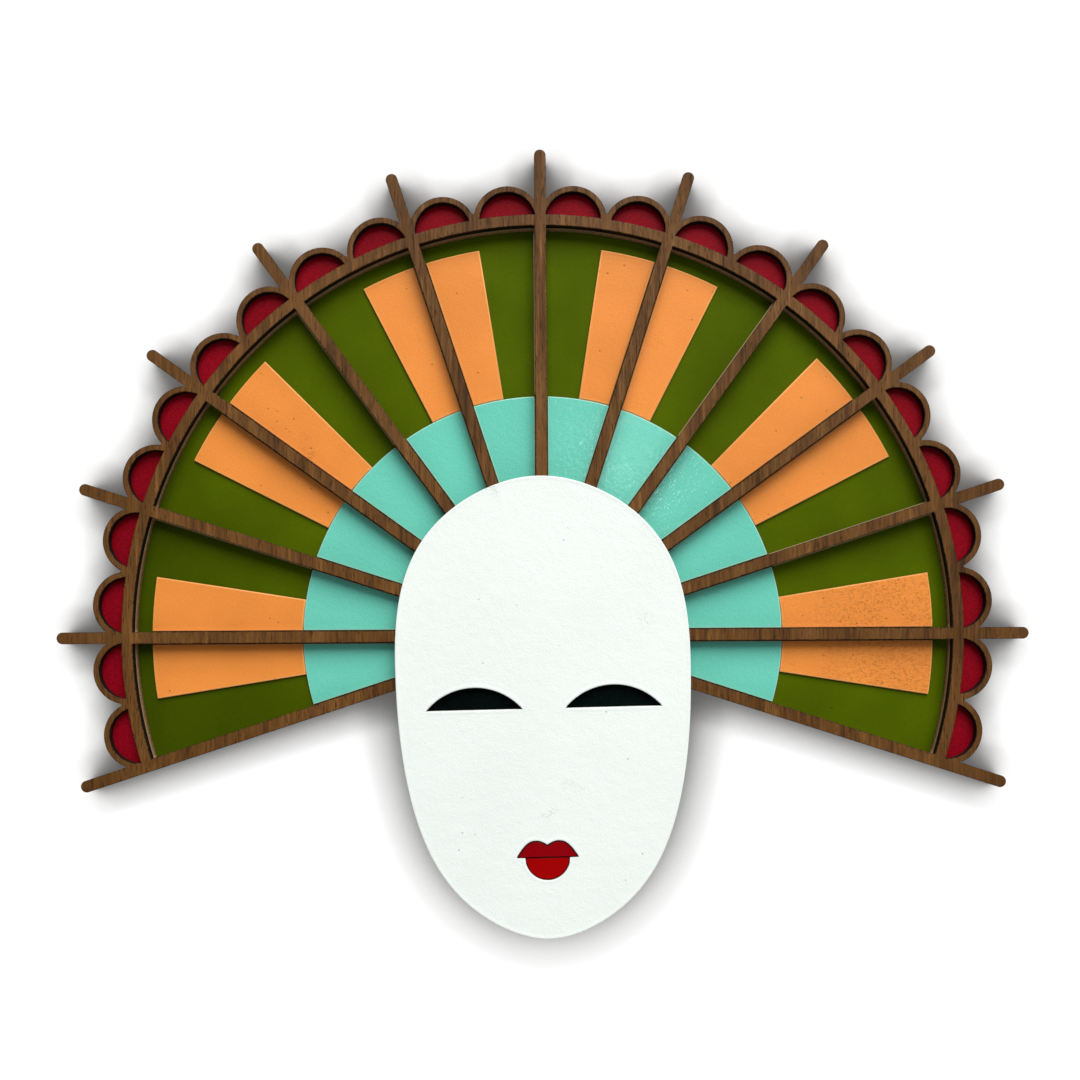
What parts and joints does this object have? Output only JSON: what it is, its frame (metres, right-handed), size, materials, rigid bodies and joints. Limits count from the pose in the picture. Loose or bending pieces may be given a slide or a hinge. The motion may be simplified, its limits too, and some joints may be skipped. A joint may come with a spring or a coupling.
{
  "type": "layered wood wall mask",
  "caption": "Flat layered wood mask: an egg-shaped white face on a fan headdress of walnut ribs, with scalloped rim, spikes and painted panels between the ribs.",
  "frame": {"origin": "centre of the fan, on the back face of the back board", "axes": "+Z out of the front, +Y towards the crown, +X to the right of someone who looks at the front"},
  "size_m": [0.3888, 0.3149, 0.0137],
  "materials": {
    "green_paint": "satin olive paint on wood",
    "red_paint": "dark red paint on wood",
    "teal_paint": "satin teal paint on thin wood",
    "orange_paint": "satin orange paint on thin wood",
    "walnut": "oiled walnut, charred at its cut edges",
    "black_paint": "matt black paint on wood",
    "white_paint": "satin white paint on wood",
    "upper_lip_paint": "satin dark red paint on wood",
    "lower_lip_paint": "satin red paint on wood"
  },
  "bodies": {
    "root": {"back_board": "green_paint", "red_frame": "red_paint", "teal_panel_01": "teal_paint", "teal_panel_02": "teal_paint", "teal_panel_03": "teal_paint", "teal_panel_04": "teal_paint", "teal_panel_05": "teal_paint", "teal_panel_06": "teal_paint", "teal_panel_07": "teal_paint", "teal_panel_08": "teal_paint", "teal_panel_09": "teal_paint", "teal_panel_10": "teal_paint", "teal_panel_11": "teal_paint", "teal_panel_12": "teal_paint", "orange_panel_01": "orange_paint", "orange_panel_02": "orange_paint", "orange_panel_03": "orange_paint", "orange_panel_04": "orange_paint", "orange_panel_05": "orange_paint", "orange_panel_06": "orange_paint", "orange_panel_07": "orange_paint", "orange_panel_08": "orange_paint", "orange_panel_09": "orange_paint", "orange_panel_10": "orange_paint", "orange_panel_11": "orange_paint", "orange_panel_12": "orange_paint", "rib_lattice": "walnut", "face_backing": "black_paint", "face_plate": "white_paint", "upper_lip": "upper_lip_paint", "lower_lip": "lower_lip_paint"}
  },
  "joints": []
}
